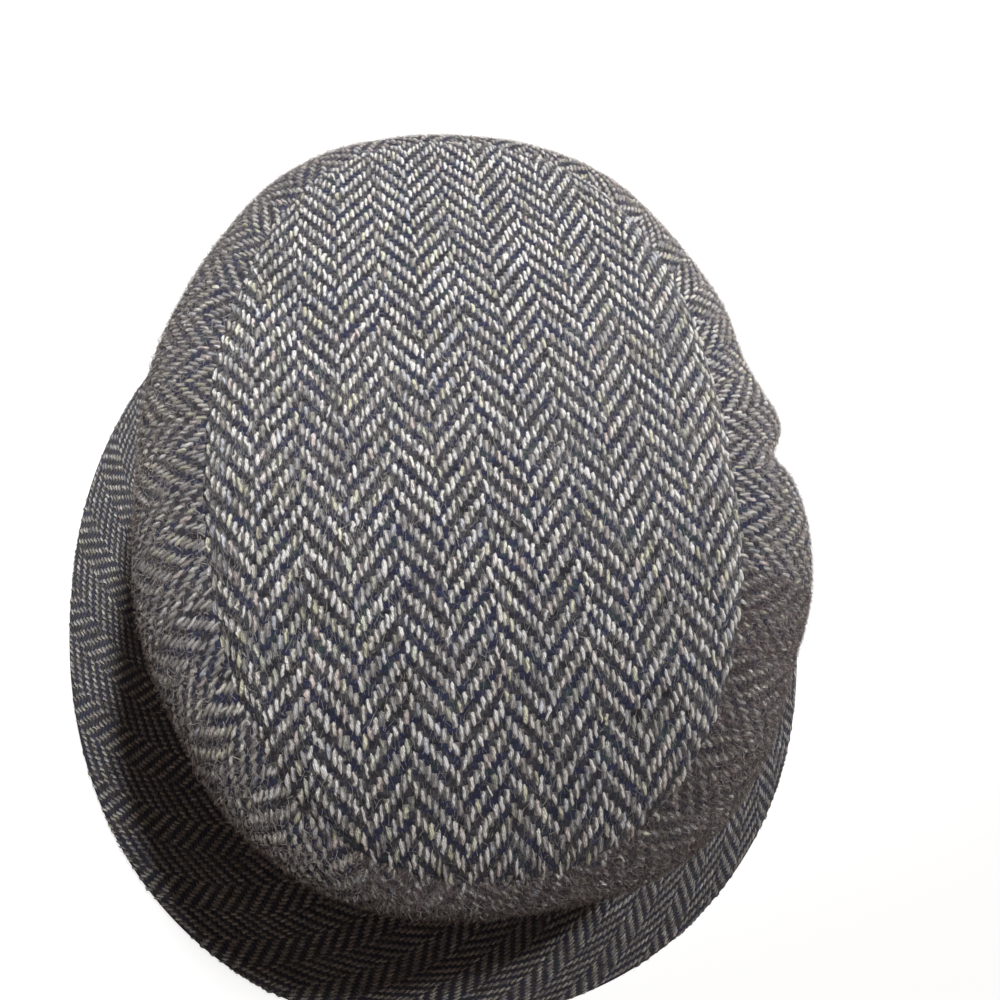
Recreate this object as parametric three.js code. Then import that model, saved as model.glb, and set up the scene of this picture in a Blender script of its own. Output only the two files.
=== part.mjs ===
// An Irish walking hat of herringbone tweed, in millimetres, +Z up. It stands on its rim at z = 0, with the
// middle of the rim's oval at the origin, its length along Y and its near side towards -Y.
import * as THREE from "three";

// Driving sizes
const HEIGHT = 115.5; // floor to the top of the dome
const CLOTH = 2.4; // the tweed with its stiffening
const BRIM_CLOTH = 3; // two layers sewn as one
const STATIONS = 96; // steps round the hat

// The tip's outline and dome
const TIP = { x: -0.5, y: 3.4, halfWidth: 63.7, halfLength: 98.2, squareness: 2.29, turn: -3.1 };
// How far the tip's edge lies below its middle, at its sides and its ends, and how much more at its near end
const DOME = { across: 4.5, along: 9.5, near: 6 };
const TIP_RINGS = 5; // rings from the middle to the edge
const TIP_ROLL = 2.2; // radius of the rolled edge
const ROLL_STEPS = 4;

// The side band's outer face, from the tip's seam to the brim. `follow` is the share of the dome's curve that a
// level still has, and drop is measured from the top of the dome.
const SIDE_LEVELS = [
  { drop: 2.8, follow: 0.92, x: -0.5, y: 3.4, halfWidth: 60.4, halfLength: 94.9, squareness: 2.29, turn: -3.1 },
  { drop: 3.2, follow: 1.0, x: -0.5, y: 3.4, halfWidth: 65.0, halfLength: 99.2, squareness: 2.29, turn: -3.1 },
  { drop: 6.5, follow: 0.85, x: 0.0, y: 4.0, halfWidth: 72.6, halfLength: 102.4, squareness: 2.29, turn: -2.4 },
  { drop: 13.5, follow: 0.5, x: 0.8, y: 4.9, halfWidth: 81.0, halfLength: 105.6, squareness: 2.28, turn: -1.4 },
  { drop: 22.0, follow: 0.2, x: 1.4, y: 5.4, halfWidth: 86.8, halfLength: 108.2, squareness: 2.27, turn: -0.4 },
  { drop: 31.0, follow: 0.0, x: 1.7, y: 5.7, halfWidth: 89.0, halfLength: 109.3, squareness: 2.27, turn: 0 },
  { drop: 43.0, follow: 0.0, x: 1.5, y: 5.0, halfWidth: 88.6, halfLength: 108.6, squareness: 2.25, turn: 0 },
  { drop: 58.0, follow: 0.0, x: 0.8, y: 3.4, halfWidth: 87.2, halfLength: 107.0, squareness: 2.2, turn: 0 },
  { drop: 79.0, follow: 0.0, x: 0.0, y: 2.0, halfWidth: 86.2, halfLength: 105.8, squareness: 2.15, turn: 0 },
];
const SIDE_STEPS = 16; // steps from the seam to the brim

// The brim's outer face
const BRIM_LEVELS = [
  { drop: 79.3, follow: 0, x: 0.0, y: 2.0, halfWidth: 86.2, halfLength: 105.8, squareness: 2.15, turn: 0 },
  { drop: 84.5, follow: 0, x: 0.0, y: 1.7, halfWidth: 91.8, halfLength: 111.2, squareness: 2.15, turn: 0 },
  { drop: 96.5, follow: 0, x: 0.0, y: 0.9, halfWidth: 109.6, halfLength: 126.4, squareness: 2.15, turn: 0 },
  { drop: 115.5, follow: 0, x: 0.0, y: 0.0, halfWidth: 133.4, halfLength: 146.0, squareness: 2.15, turn: 0 },
];
const BRIM_STEPS = 6; // steps from the brim's seam to its rim
const RIM_FLAT = 2.6; // width of the rim's face on the floor

// Soft dents and bulges of the side band: where each lies round the hat (0 at +X, 90 at the far end, degrees) and
// below the top, how far it spreads each way, and how far it pushes the cloth out, or in where it is negative.
const FOLDS = [
  { angle: 5, spread: 3.5, drop: 26, depth: 14, push: 1.0 },
  { angle: -3, spread: 3.6, drop: 24, depth: 18, push: -4.6 },
  { angle: -20, spread: 12, drop: 33, depth: 18, push: 2.8 },
  { angle: -42, spread: 9, drop: 34, depth: 20, push: -2.0 },
  { angle: -70, spread: 10, drop: 36, depth: 20, push: 1.2 },
  { angle: -118, spread: 12, drop: 34, depth: 20, push: 1.0 },
  { angle: -142, spread: 8, drop: 38, depth: 18, push: -1.6 },
  { angle: 172, spread: 9, drop: 40, depth: 20, push: -1.4 },
  { angle: 138, spread: 17, drop: 28, depth: 22, push: -3.4 },
  { angle: 42, spread: 12, drop: 30, depth: 22, push: -3.4 },
  { angle: 19, spread: 11, drop: 30, depth: 22, push: -5.0 },
];

const radians = THREE.MathUtils.degToRad;

// The distance from an oval's middle to its edge in a direction given by its cosine and sine.
function ovalReach(level, cosine, sine) {
  const n = level.squareness;
  return (Math.abs(cosine / level.halfWidth) ** n + Math.abs(sine / level.halfLength) ** n) ** (-1 / n);
}

// The dome's fall below the top at a point given in shares of the oval's half width and half length.
function domeFall(across, along) {
  return DOME.across * across ** 2 + DOME.along * along ** 2 + DOME.near * Math.max(0, -along) ** 4;
}

// How far the folds push the side band out at an angle and a drop below the top.
function foldPush(angle, drop) {
  let push = 0;
  for (const fold of FOLDS) {
    const turn = Math.atan2(Math.sin(angle - radians(fold.angle)), Math.cos(angle - radians(fold.angle)));
    const sideways = turn / radians(fold.spread);
    const down = (drop - fold.drop) / fold.depth;
    push += fold.push * Math.exp(-(sideways ** 2) - down ** 2);
  }
  return push;
}

// A point of an oval level at an angle, at a share of its reach.
function levelPoint(level, angle, share = 1) {
  const cosine = Math.cos(angle);
  const sine = Math.sin(angle);
  const reach = (ovalReach(level, cosine, sine) + foldPush(angle, level.drop)) * share;
  const fall = level.follow * domeFall((cosine * reach) / level.halfWidth, (sine * reach) / level.halfLength);
  const point = new THREE.Vector3(cosine * reach, sine * reach, 0);
  point.applyAxisAngle(new THREE.Vector3(0, 0, 1), radians(level.turn));
  return point.add(new THREE.Vector3(level.x, level.y, HEIGHT - level.drop - fall));
}

// The level that lies at a share of the way down a table of levels, on a smooth curve through its rows.
function levelBetween(levels, share) {
  const last = levels.length - 1;
  const place = share * last;
  const index = Math.min(Math.floor(place), last - 1);
  const t = place - index;
  const rows = [-1, 0, 1, 2].map((step) => levels[THREE.MathUtils.clamp(index + step, 0, last)]);
  const level = {};
  for (const name of Object.keys(levels[0])) {
    const [before, from, to, after] = rows.map((row) => row[name]);
    const leaving = (to - before) / 2;
    const arriving = (after - from) / 2;
    const bend = 2 * (from - to) + leaving + arriving;
    const lean = 3 * (to - from) - 2 * leaving - arriving;
    level[name] = ((bend * t + lean) * t + leaving) * t + from;
  }
  return level;
}

// Moves each point of an outline, given from its upper end to its lower end, inwards across the cloth.
function innerLine(line, thickness) {
  return line.map((point, i) => {
    const before = line[Math.max(i - 1, 0)];
    const after = line[Math.min(i + 1, line.length - 1)];
    const down = after.clone().sub(before).normalize();
    const outwards = new THREE.Vector3(point.x, point.y, 0).normalize();
    const round = new THREE.Vector3(0, 0, 1).cross(outwards);
    const inwards = round.clone().cross(down).normalize();
    return point.clone().addScaledVector(inwards, thickness);
  });
}

// One closed body from a closed section at every station round the hat. Sections run down the outer face and up
// the inner face.
function ringBody(sections) {
  const count = sections[0].length;
  const positions = sections.flat().flatMap((point) => point.toArray());
  const faces = [];
  for (let s = 0; s < sections.length; s += 1) {
    const next = (s + 1) % sections.length;
    for (let i = 0; i < count; i += 1) {
      const j = (i + 1) % count;
      const a = s * count + i;
      const b = s * count + j;
      const c = next * count + j;
      const d = next * count + i;
      faces.push(a, b, c, a, c, d);
    }
  }
  return closedGeometry(positions, faces);
}

// One closed body from open sections that all start at a shared upper middle and end at a shared lower middle.
function discBody(upper, lower, sections) {
  const count = sections[0].length;
  const positions = [...upper.toArray(), ...lower.toArray(), ...sections.flat().flatMap((point) => point.toArray())];
  const faces = [];
  const first = 2;
  for (let s = 0; s < sections.length; s += 1) {
    const here = first + s * count;
    const next = first + ((s + 1) % sections.length) * count;
    faces.push(0, here, next);
    for (let i = 0; i < count - 1; i += 1) {
      faces.push(here + i, here + i + 1, next + i + 1);
      faces.push(here + i, next + i + 1, next + i);
    }
    faces.push(1, next + count - 1, here + count - 1);
  }
  return closedGeometry(positions, faces);
}

function closedGeometry(positions, faces) {
  const geometry = new THREE.BufferGeometry();
  geometry.setAttribute("position", new THREE.Float32BufferAttribute(positions, 3));
  geometry.setIndex(faces);
  geometry.computeVertexNormals();
  return geometry;
}

function stationAngles() {
  return Array.from({ length: STATIONS }, (_, s) => (2 * Math.PI * s) / STATIONS);
}

function clothMaterial(colour) {
  return new THREE.MeshStandardMaterial({ color: colour, roughness: 0.95, metalness: 0 });
}

// The tip: a domed sheet of cloth whose edge rolls down over the seam.
function crownTip() {
  const flat = { ...TIP, drop: 0, follow: 1 };
  const inside = (TIP.halfWidth - TIP_ROLL) / TIP.halfWidth;
  const under = new THREE.Vector3(0, 0, -CLOTH);
  const sections = stationAngles().map((angle) => {
    const upper = [];
    const lower = [];
    for (let ring = 1; ring <= TIP_RINGS; ring += 1) {
      const share = (inside * ring) / TIP_RINGS;
      const point = levelPoint(flat, angle, share);
      upper.push(point);
      lower.unshift(point.clone().add(under));
    }
    const edge = upper[upper.length - 1];
    const outwards = levelPoint(flat, angle, 1).sub(edge).setZ(0).normalize();
    const rolled = [];
    for (let step = 1; step < ROLL_STEPS; step += 1) {
      const bend = (Math.PI * step) / ROLL_STEPS;
      const point = edge.clone().addScaledVector(outwards, TIP_ROLL * Math.sin(bend));
      point.z -= (CLOTH * (1 - Math.cos(bend))) / 2;
      rolled.push(point);
    }
    return [...upper, ...rolled, ...lower];
  });
  const middle = levelPoint(flat, 0, 0);
  const mesh = new THREE.Mesh(discBody(middle, middle.clone().add(under), sections), clothMaterial(0x6e6d72));
  mesh.name = "crown_tip";
  return mesh;
}

// The side band: a wall of cloth from under the tip's edge down to the brim.
function crownSide() {
  const sections = stationAngles().map((angle) => {
    const outer = [];
    for (let step = 0; step <= SIDE_STEPS; step += 1) {
      outer.push(levelPoint(levelBetween(SIDE_LEVELS, step / SIDE_STEPS), angle));
    }
    const inner = innerLine(outer, CLOTH);
    return [...outer, ...inner.reverse()];
  });
  const mesh = new THREE.Mesh(ringBody(sections), clothMaterial(0x625f62));
  mesh.name = "crown_side";
  return mesh;
}

// The brim: a sloping ring of cloth whose rim has a narrow flat face on the floor.
function brim() {
  const sections = stationAngles().map((angle) => {
    const outer = [];
    for (let step = 0; step <= BRIM_STEPS; step += 1) {
      outer.push(levelPoint(levelBetween(BRIM_LEVELS, step / BRIM_STEPS), angle));
    }
    const inner = innerLine(outer, BRIM_CLOTH);
    const rim = outer[outer.length - 1];
    const inwards = new THREE.Vector3(-rim.x, -rim.y, 0).normalize();
    inner[inner.length - 1] = rim.clone().addScaledVector(inwards, RIM_FLAT);
    inner[0].z = outer[0].z;
    return [...outer, ...inner.reverse()];
  });
  const mesh = new THREE.Mesh(ringBody(sections), clothMaterial(0x4f4d52));
  mesh.name = "brim";
  return mesh;
}

const hat = new THREE.Group();
hat.add(crownTip(), crownSide(), brim());

export default hat;
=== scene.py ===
import math

import bmesh
import bpy
import numpy as np
from mathutils import Matrix, Vector


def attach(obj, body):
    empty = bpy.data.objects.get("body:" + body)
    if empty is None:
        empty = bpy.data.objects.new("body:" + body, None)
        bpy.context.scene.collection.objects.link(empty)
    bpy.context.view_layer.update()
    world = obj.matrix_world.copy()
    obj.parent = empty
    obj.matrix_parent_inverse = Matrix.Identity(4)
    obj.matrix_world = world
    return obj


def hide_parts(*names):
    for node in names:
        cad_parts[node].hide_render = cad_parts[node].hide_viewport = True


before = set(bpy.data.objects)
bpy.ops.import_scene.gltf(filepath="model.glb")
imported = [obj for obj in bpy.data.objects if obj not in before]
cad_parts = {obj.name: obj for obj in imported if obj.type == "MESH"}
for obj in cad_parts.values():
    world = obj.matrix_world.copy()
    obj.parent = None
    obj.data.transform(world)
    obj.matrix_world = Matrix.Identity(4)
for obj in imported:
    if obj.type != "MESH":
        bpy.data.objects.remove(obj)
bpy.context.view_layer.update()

MM = 0.001
SEED = 1907

# The hat's driving sizes
HEIGHT = 115.5  # floor to the top of the dome
CLOTH = 2.4  # the tweed with its stiffening
BRIM_CLOTH = 3.0  # two layers sewn as one
RIM_FLAT = 2.6  # width of the rim's face on the floor
RIM_ROLL = 1.3  # radius of the rim's turned edge
TIP_OVAL = {"x": -0.5, "y": 3.4, "half_width": 63.7, "half_length": 98.2, "squareness": 2.29, "turn": -3.1}

# How far the tip's edge lies below its middle at the sides and at the ends, and how much more at the near end
DOME = {"across": 4.5, "along": 9.5, "near": 6.0}

# The side band and the brim: ovals at a drop below the top of the dome. "follow" is the share of the dome's
# curve that a level still has.
LEVEL_COLUMNS = ("drop", "follow", "x", "y", "half_width", "half_length", "squareness", "turn")
SIDE_LEVELS = (
    (2.8, 0.92, -0.5, 3.4, 60.4, 94.9, 2.29, -3.1),
    (3.2, 1.00, -0.5, 3.4, 65.0, 99.2, 2.29, -3.1),
    (6.5, 0.85, 0.0, 4.0, 72.6, 102.4, 2.29, -2.4),
    (13.5, 0.50, 0.8, 4.9, 81.0, 105.6, 2.28, -1.4),
    (22.0, 0.20, 1.4, 5.4, 86.8, 108.2, 2.27, -0.4),
    (31.0, 0.00, 1.7, 5.7, 89.0, 109.3, 2.27, 0.0),
    (43.0, 0.00, 1.5, 5.0, 88.6, 108.6, 2.25, 0.0),
    (58.0, 0.00, 0.8, 3.4, 87.2, 107.0, 2.20, 0.0),
    (79.0, 0.00, 0.0, 2.0, 86.2, 105.8, 2.15, 0.0),
)
BRIM_LEVELS = (
    (79.3, 0.0, 0.0, 2.0, 86.2, 105.8, 2.15, 0.0),
    (84.5, 0.0, 0.0, 1.7, 91.8, 111.2, 2.15, 0.0),
    (96.5, 0.0, 0.0, 0.9, 109.6, 126.4, 2.15, 0.0),
    (115.5, 0.0, 0.0, 0.0, 133.4, 146.0, 2.15, 0.0),
)

# Soft dents and bulges of the side band: angle round the hat, its spread, the drop below the top, its depth,
# and the push outwards, or inwards where it is negative
FOLDS = (
    (5, 3.5, 26, 14, 1.0),
    (-3, 3.6, 24, 18, -4.6),
    (-20, 12, 33, 18, 2.8),
    (-42, 9, 34, 20, -2.0),
    (-70, 10, 36, 20, 1.2),
    (-118, 12, 34, 20, 1.0),
    (-142, 8, 38, 18, -1.6),
    (172, 9, 40, 20, -1.4),
    (138, 17, 28, 22, -3.4),
    (42, 12, 30, 22, -3.4),
    (19, 11, 30, 22, -5.0),
)

# The weave: a broken herringbone in a two-over, two-under twill
HALF_COLUMN = 8  # ends that rise one way before the stripes turn
REPEAT = 4  # picks before an end's float comes round again
END = 1.2875  # spacing of the ends on the tip
PICK = 1.44  # spacing of the picks on the tip
PEAK_X = -2.6  # a line where the stripes peak on the tip
PICK_SHIFT = -0.43  # start of the picks along the tip
SIDE_ENDS = 448  # 28 columns round the side band
BRIM_ENDS = 464  # the bias puts this many ends and picks along the rim
BRIM_PICKS = 416

# Steps of the fine forms
STATIONS = 368  # round the hat
SIDE_ROWS = 56
BRIM_ROWS = 40
INNER_EVERY = 3  # the inner faces have one row for this many outer ones
OVAL_STEPS = 4320  # round an oval whose length is measured
OUTLINE_STEPS = 300  # down an outline before it is parted evenly
REFERENCE_SHARE = 0.42  # of the way down a table, where the ends have their own spacing

# Slow hollows and swellings of the cloth: how far it rises, and how many waves go round the hat
SIDE_WAVES = {"rise": 0.42, "counts": (3, 5, 8, 13, 21)}
BRIM_WAVES = {"rise": 0.35, "counts": (2, 5, 9, 14)}
WAVE_SLANT = 4  # half turns by which a wave may slant on its way down
WAVE_EDGE = 0.7  # how softly the waves end at the cloth's two edges

# The camera, and the lens and its sensor's width
CAMERA_PLACE = (-27.2, -70.8, 275.0)
CAMERA_LOOK = (0.16449, 0.32679, -0.93067)
CAMERA_UP = (0.07188, 0.93705, 0.34173)
LENS = 27.0
SENSOR = 36.0


# Form of the hat

def column(levels, name):
    return levels[..., LEVEL_COLUMNS.index(name)]


def unit(vectors):
    return vectors / np.maximum(np.linalg.norm(vectors, axis=-1, keepdims=True), 1e-9)


def level_between(rows, share):
    """The levels at shares of the way down a table, on smooth curves through its rows."""
    table = np.array(rows, float)
    last = len(table) - 1
    place = np.clip(np.asarray(share, float) * last, 0, last)
    index = np.minimum(np.floor(place).astype(int), last - 1)
    t = (place - index)[..., None]
    before, start, end, after = (table[np.clip(index + step, 0, last)] for step in (-1, 0, 1, 2))
    leaving = (end - before) / 2
    arriving = (after - start) / 2
    bend = 2 * (start - end) + leaving + arriving
    lean = 3 * (end - start) - 2 * leaving - arriving
    return ((bend * t + lean) * t + leaving) * t + start


def fold_push(angle, drop):
    """How far the folds push the side band out."""
    push = np.zeros(np.broadcast(angle, drop).shape)
    for centre, spread, level, depth, most in FOLDS:
        away = angle - math.radians(centre)
        turn = np.arctan2(np.sin(away), np.cos(away)) / math.radians(spread)
        push += most * np.exp(-(turn**2) - ((drop - level) / depth) ** 2)
    return push


def dome_fall(across, along):
    """The dome's fall at a point given in shares of the oval's half width and half length."""
    near = np.clip(-along, 0, None)
    return DOME["across"] * across**2 + DOME["along"] * along**2 + DOME["near"] * near**4


def level_points(level, angle, share=1.0):
    """Points of oval levels at angles, at a share of their reach."""
    cosine, sine = np.cos(angle), np.sin(angle)
    width, length, power = (column(level, name) for name in ("half_width", "half_length", "squareness"))
    reach = (np.abs(cosine / width) ** power + np.abs(sine / length) ** power) ** (-1 / power)
    reach = (reach + fold_push(angle, column(level, "drop"))) * share
    across, along = cosine * reach, sine * reach
    fall = column(level, "follow") * dome_fall(across / width, along / length)
    turn = np.radians(column(level, "turn"))
    x = column(level, "x") + across * np.cos(turn) - along * np.sin(turn)
    y = column(level, "y") + across * np.sin(turn) + along * np.cos(turn)
    return np.stack([x, y, HEIGHT - column(level, "drop") - fall], -1)


def even_angles(level, count):
    """Angles that part an oval level into equal lengths, from the far end round, and its length."""
    fine = np.linspace(0, 2 * np.pi, OVAL_STEPS + 1) + np.pi / 2
    ring = level_points(level[None], fine)
    length = np.concatenate([[0], np.cumsum(np.linalg.norm(np.diff(ring, axis=0), axis=1))])
    return np.interp(np.linspace(0, length[-1], count + 1)[:-1], length, fine), length[-1]


def fine_profiles(rows):
    """Fine outlines down a table of levels at every station, and the length round the hat."""
    angles, around = even_angles(level_between(rows, REFERENCE_SHARE), STATIONS)
    levels = level_between(rows, np.linspace(0, 1, OUTLINE_STEPS + 1))
    return level_points(levels[None], angles[:, None]), around


def even_rows(profiles, steps):
    """Outlines with their points at equal lengths, and their mean length."""
    length = np.linalg.norm(np.diff(profiles, axis=1), axis=2).cumsum(axis=1)
    length = np.concatenate([np.zeros((len(profiles), 1)), length], axis=1)
    grid = np.empty((len(profiles), steps + 1, 3))
    for station in range(len(profiles)):
        places = np.linspace(0, length[station, -1], steps + 1)
        for axis in range(3):
            grid[station, :, axis] = np.interp(places, length[station], profiles[station, :, axis])
    return grid, length[:, -1].mean()


def grid_normals(grid):
    """Outward unit normals of a grid that closes round its first axis and runs down its second."""
    around = np.roll(grid, -1, axis=0) - np.roll(grid, 1, axis=0)
    down = np.gradient(grid, axis=1)
    return unit(np.cross(down, around))


def soften(grid, waves, rng):
    """Adds slow hollows and swellings to a grid, none at its two edges."""
    stations, rows = grid.shape[:2]
    around = np.linspace(0, 2 * np.pi, stations, endpoint=False)[:, None]
    down = np.linspace(0, 1, rows)[None, :]
    rise = np.zeros((stations, rows))
    for wave in waves["counts"]:
        slant = rng.uniform(-WAVE_SLANT, WAVE_SLANT) * down * np.pi
        rise += np.sin(wave * around + slant + rng.uniform(0, 2 * np.pi)) / wave**0.5
    rise *= waves["rise"] * np.sin(np.pi * down) ** WAVE_EDGE
    return grid + grid_normals(grid) * rise[..., None]


def sample_grid(grid, around, down):
    """Points of a closed grid at shares round it and down it."""
    stations, rows = grid.shape[:2]
    a = np.mod(around, 1) * stations
    d = np.clip(down, 0, 1) * (rows - 1)
    a0 = np.floor(a).astype(int) % stations
    d0 = np.minimum(np.floor(d).astype(int), rows - 2)
    fa, fd = (a - np.floor(a))[:, None], (d - d0)[:, None]
    a1 = (a0 + 1) % stations
    near = grid[a0, d0] * (1 - fd) + grid[a0, d0 + 1] * fd
    far = grid[a1, d0] * (1 - fd) + grid[a1, d0 + 1] * fd
    return near * (1 - fa) + far * fa


# Meshes

def add_piece(name, points, faces, materials, chosen=None):
    """A mesh object in metres from points in millimetres, which rides on the hat."""
    mesh = bpy.data.meshes.new(name)
    faces = np.asarray(faces)
    corners = faces.shape[1]
    mesh.vertices.add(len(points))
    mesh.vertices.foreach_set("co", (np.asarray(points) * MM).astype(np.float32).ravel())
    mesh.loops.add(faces.size)
    mesh.loops.foreach_set("vertex_index", faces.astype(np.int32).ravel())
    mesh.polygons.add(len(faces))
    mesh.polygons.foreach_set("loop_start", np.arange(0, faces.size, corners, dtype=np.int32))
    mesh.update(calc_edges=True)
    mesh.shade_smooth()
    for material in materials:
        mesh.materials.append(material)
    if chosen is not None:
        mesh.polygons.foreach_set("material_index", np.asarray(chosen, np.int32))
    piece = bpy.data.objects.new(name, mesh)
    bpy.context.scene.collection.objects.link(piece)
    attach(piece, "root")
    return piece


def add_weave_map(piece, corner_uv):
    """The weave's own coordinates, one pair for each face corner: ends, then picks."""
    layer = piece.data.uv_layers.new(name="weave")
    layer.data.foreach_set("uv", np.asarray(corner_uv, np.float32).ravel())


def add_tint(piece, colours):
    """One colour for each vertex."""
    layer = piece.data.attributes.new("tint", "FLOAT_COLOR", "POINT")
    full = np.ones((len(colours), 4), np.float32)
    full[:, :3] = colours
    layer.data.foreach_set("color", full.ravel())


def strip_faces(rows, columns, count):
    """The quads of many small grids of points, one grid after another."""
    row = np.arange(rows - 1)[:, None] * columns
    first = (row + np.arange(columns - 1)[None, :]).reshape(-1)
    quads = np.stack([first, first + 1, first + columns + 1, first + columns], -1)
    return (quads[None] + (np.arange(count) * rows * columns)[:, None, None]).reshape(-1, 4)


def ring_faces(stations, count, closed=True):
    """Quads between sections that follow each other round, and each corner's station and place."""
    station = np.arange(stations)[:, None]
    place = np.arange(count if closed else count - 1)[None, :]
    here = station + 0 * place
    spot = place + 0 * station
    steps = ((0, 0), (0, 1), (1, 1), (1, 0))
    around = np.stack([here + a for a, _ in steps], -1).reshape(-1, 4)
    down = np.stack([(spot + b) % count for _, b in steps], -1).reshape(-1, 4)
    return (around % stations) * count + down, around, down


def wall_piece(name, grid, inner, weave, materials):
    """A wall of cloth with an outer and an inner face, which closes round the hat."""
    stations, rows = grid.shape[:2]
    back = inner[:, ::-1]
    sections = np.concatenate([grid, back], axis=1)
    faces, around, down = ring_faces(stations, sections.shape[1])
    depth = np.concatenate([np.linspace(0, 1, rows), np.linspace(1, 0, back.shape[1])])
    share = np.stack([around / stations, depth[down]], -1)
    outside = (down < rows).sum(axis=1) >= 3
    piece = add_piece(name, sections.reshape(-1, 3), faces, materials, np.where(outside, 0, 1))
    add_weave_map(piece, share @ np.asarray(weave).T)
    return piece


# Colours of the wool. The rows of a table are share, red, green, blue, and a ramp's are place and colour.

YARN_COLOURS = np.array((
    (0.28, 0.80, 0.78, 0.72),  # cream
    (0.42, 0.78, 0.78, 0.78),  # pale grey
    (0.11, 0.50, 0.50, 0.51),  # grey
    (0.06, 0.76, 0.76, 0.58),  # pale yellow
    (0.05, 0.78, 0.68, 0.66),  # pale pink
    (0.04, 0.52, 0.55, 0.62),  # blue grey
    (0.04, 0.60, 0.63, 0.54),  # green grey
))
NAP_COLOURS = np.array((
    (0.40, 0.36, 0.36, 0.35),  # pale grey
    (0.36, 0.17, 0.17, 0.18),  # grey
    (0.10, 0.48, 0.46, 0.40),  # cream
    (0.14, 0.05, 0.05, 0.08),  # navy
))
FUZZ_COLOURS = np.array((
    (0.45, 0.40, 0.355, 0.335),  # pale brown
    (0.30, 0.26, 0.225, 0.215),  # brown
    (0.25, 0.50, 0.47, 0.45),  # warm grey
))
# Painted shade: darker copies of the fuzz colours, for the near side band and for the brim
PAINTED_SHADE_FUZZ_COLOURS = np.array((
    (0.45, 0.165, 0.132, 0.128),  # brown
    (0.35, 0.095, 0.075, 0.074),  # dark brown
    (0.20, 0.25, 0.22, 0.215),  # warm grey
))
WEFT_STOPS = (
    (0.0, (0.018, 0.018, 0.028)),  # charcoal
    (0.38, (0.026, 0.026, 0.034)),
    (0.44, (0.060, 0.060, 0.070)),  # slate
    (0.49, (0.032, 0.032, 0.044)),
    (0.54, (0.024, 0.027, 0.068)),  # navy
    (0.60, (0.027, 0.030, 0.066)),
    (0.66, (0.032, 0.050, 0.058)),  # blue green
    (1.0, (0.080, 0.080, 0.088)),  # grey
)
WARP_STOPS = (
    (0.0, (0.20, 0.20, 0.21)),  # grey
    (0.30, (0.42, 0.41, 0.40)),
    (0.62, (0.60, 0.58, 0.54)),  # cream
    (0.85, (0.66, 0.66, 0.65)),  # pale grey
    (1.0, (0.62, 0.50, 0.44)),  # pale pink
)
# Painted shade: the near black that the warp is darkened to under real floats, for the crevices between them
PAINTED_SHADE_WARP = (0.04, 0.04, 0.048)  # what the cloth's own warp gives way to below real floats
DRIFT_WAVES = 7  # waves that make up a slow drift from place to place
DRIFT_PACE = (0.6, 1.5)  # how slowly and how fast one of them may repeat, as a factor
DRIFT_LEVEL = 2.6  # brings their sum to about one
PATCH_STRENGTH = 0.9  # how much commoner a colour is in some patches than in others


def drifting(place, reach, rng):
    """A value from about -1 to 1 that changes slowly from place to place."""
    total = np.zeros(len(place))
    for _ in range(DRIFT_WAVES):
        way = rng.normal(0, 1, place.shape[1])
        way *= 2 * np.pi / reach / np.linalg.norm(way) * rng.uniform(*DRIFT_PACE)
        total += np.sin(place @ way + rng.uniform(0, 2 * np.pi))
    return total / DRIFT_LEVEL


def wool_colours(table, place, reach, rng):
    """Colours picked from a table, each of them commoner in some patches than in others."""
    strength = [np.exp(PATCH_STRENGTH * drifting(place, reach, rng)) for _ in table]
    weight = np.stack(strength, -1) * table[:, 0]
    edge = np.cumsum(weight, axis=1) / weight.sum(axis=1, keepdims=True)
    pick = (rng.uniform(0, 1, (len(place), 1)) > edge).sum(axis=1)
    return table[np.minimum(pick, len(table) - 1), 1:]


# Floats of the warp. Widths are in ends, lengths in picks and heights in millimetres. "patch" is how far a
# patch of colour reaches, and "shares" are those of a wall's depth between which the floats lie.

# "light" scales the yarn colour per part as painted light and shade: tip lighter, side band and brim darker
TIP_FLOATS = {
    "rows": 6, "columns": 5, "width": 0.72, "length": 2.6, "height": 0.5, "patch": 16.0, "light": 1.1,
}
SIDE_FLOATS = {
    "rows": 5, "columns": 4, "width": 0.74, "length": 2.35, "height": 0.4, "patch": 20.0, "light": 0.76,
    "shares": (0.05, 0.995),
}
BRIM_FLOATS = {
    "rows": 4, "columns": 4, "width": 0.56, "length": 2.5, "height": 0.4, "patch": 20.0, "light": 0.66,
    "shares": (0.01, 0.965),
}

# The spread of the chance differences between floats. "rough" and "sway" change along one float.
UNEVEN = {"rough": 0.17, "sway": 0.09, "slant": 0.16, "width": 0.12, "end": 0.07, "pick": 0.10}

# Other differences, as a factor: spread, least and most
UNEVEN_LENGTH = (0.13, 0.7, 1.35)
UNEVEN_HEIGHT = (0.25, 0.45, 1.6)
UNEVEN_LIGHT = (0.20, 0.45, 1.4)
FLOAT_DRIFT = 0.11  # how much lighter or darker the floats are in some patches than in others
FLOAT_DIVE = 0.45  # how deep a float's two ends dive, in heights
FLOAT_BED = 0.15  # how deep all of it lies
TIP_WIDTH_SHARE = 0.15  # of the full width, at a float's two ends
TIP_HEIGHT_SHARE = 0.25
# Painted shade on each float: darker along its sides and at its diving ends, lighter where it bulges
FLOAT_SIDE_PAINTED_SHADE = 0.36  # how light a float is along its two sides
FLOAT_END_PAINTED_SHADE = 0.62  # and at its two ends
ROUGH_PAINTED_LIGHT = (0.8, 1.15)  # least and most that its roughness changes its light
MOST_LIGHT = 0.85  # the lightest tint
MANY_TWISTS = 97  # whole ends and picks by which a float's own place in the twist may be moved
SPARE_TURNS = 5  # of the lattice, beyond the two corners, so that no shifted float is missed


def float_shift(end):
    """How many picks an end's floats lie before those of the first end of the column."""
    place = np.mod(end, 2 * HALF_COLUMN)
    return np.where(place < HALF_COLUMN, place, 2 * HALF_COLUMN + 1 - place)


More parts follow.
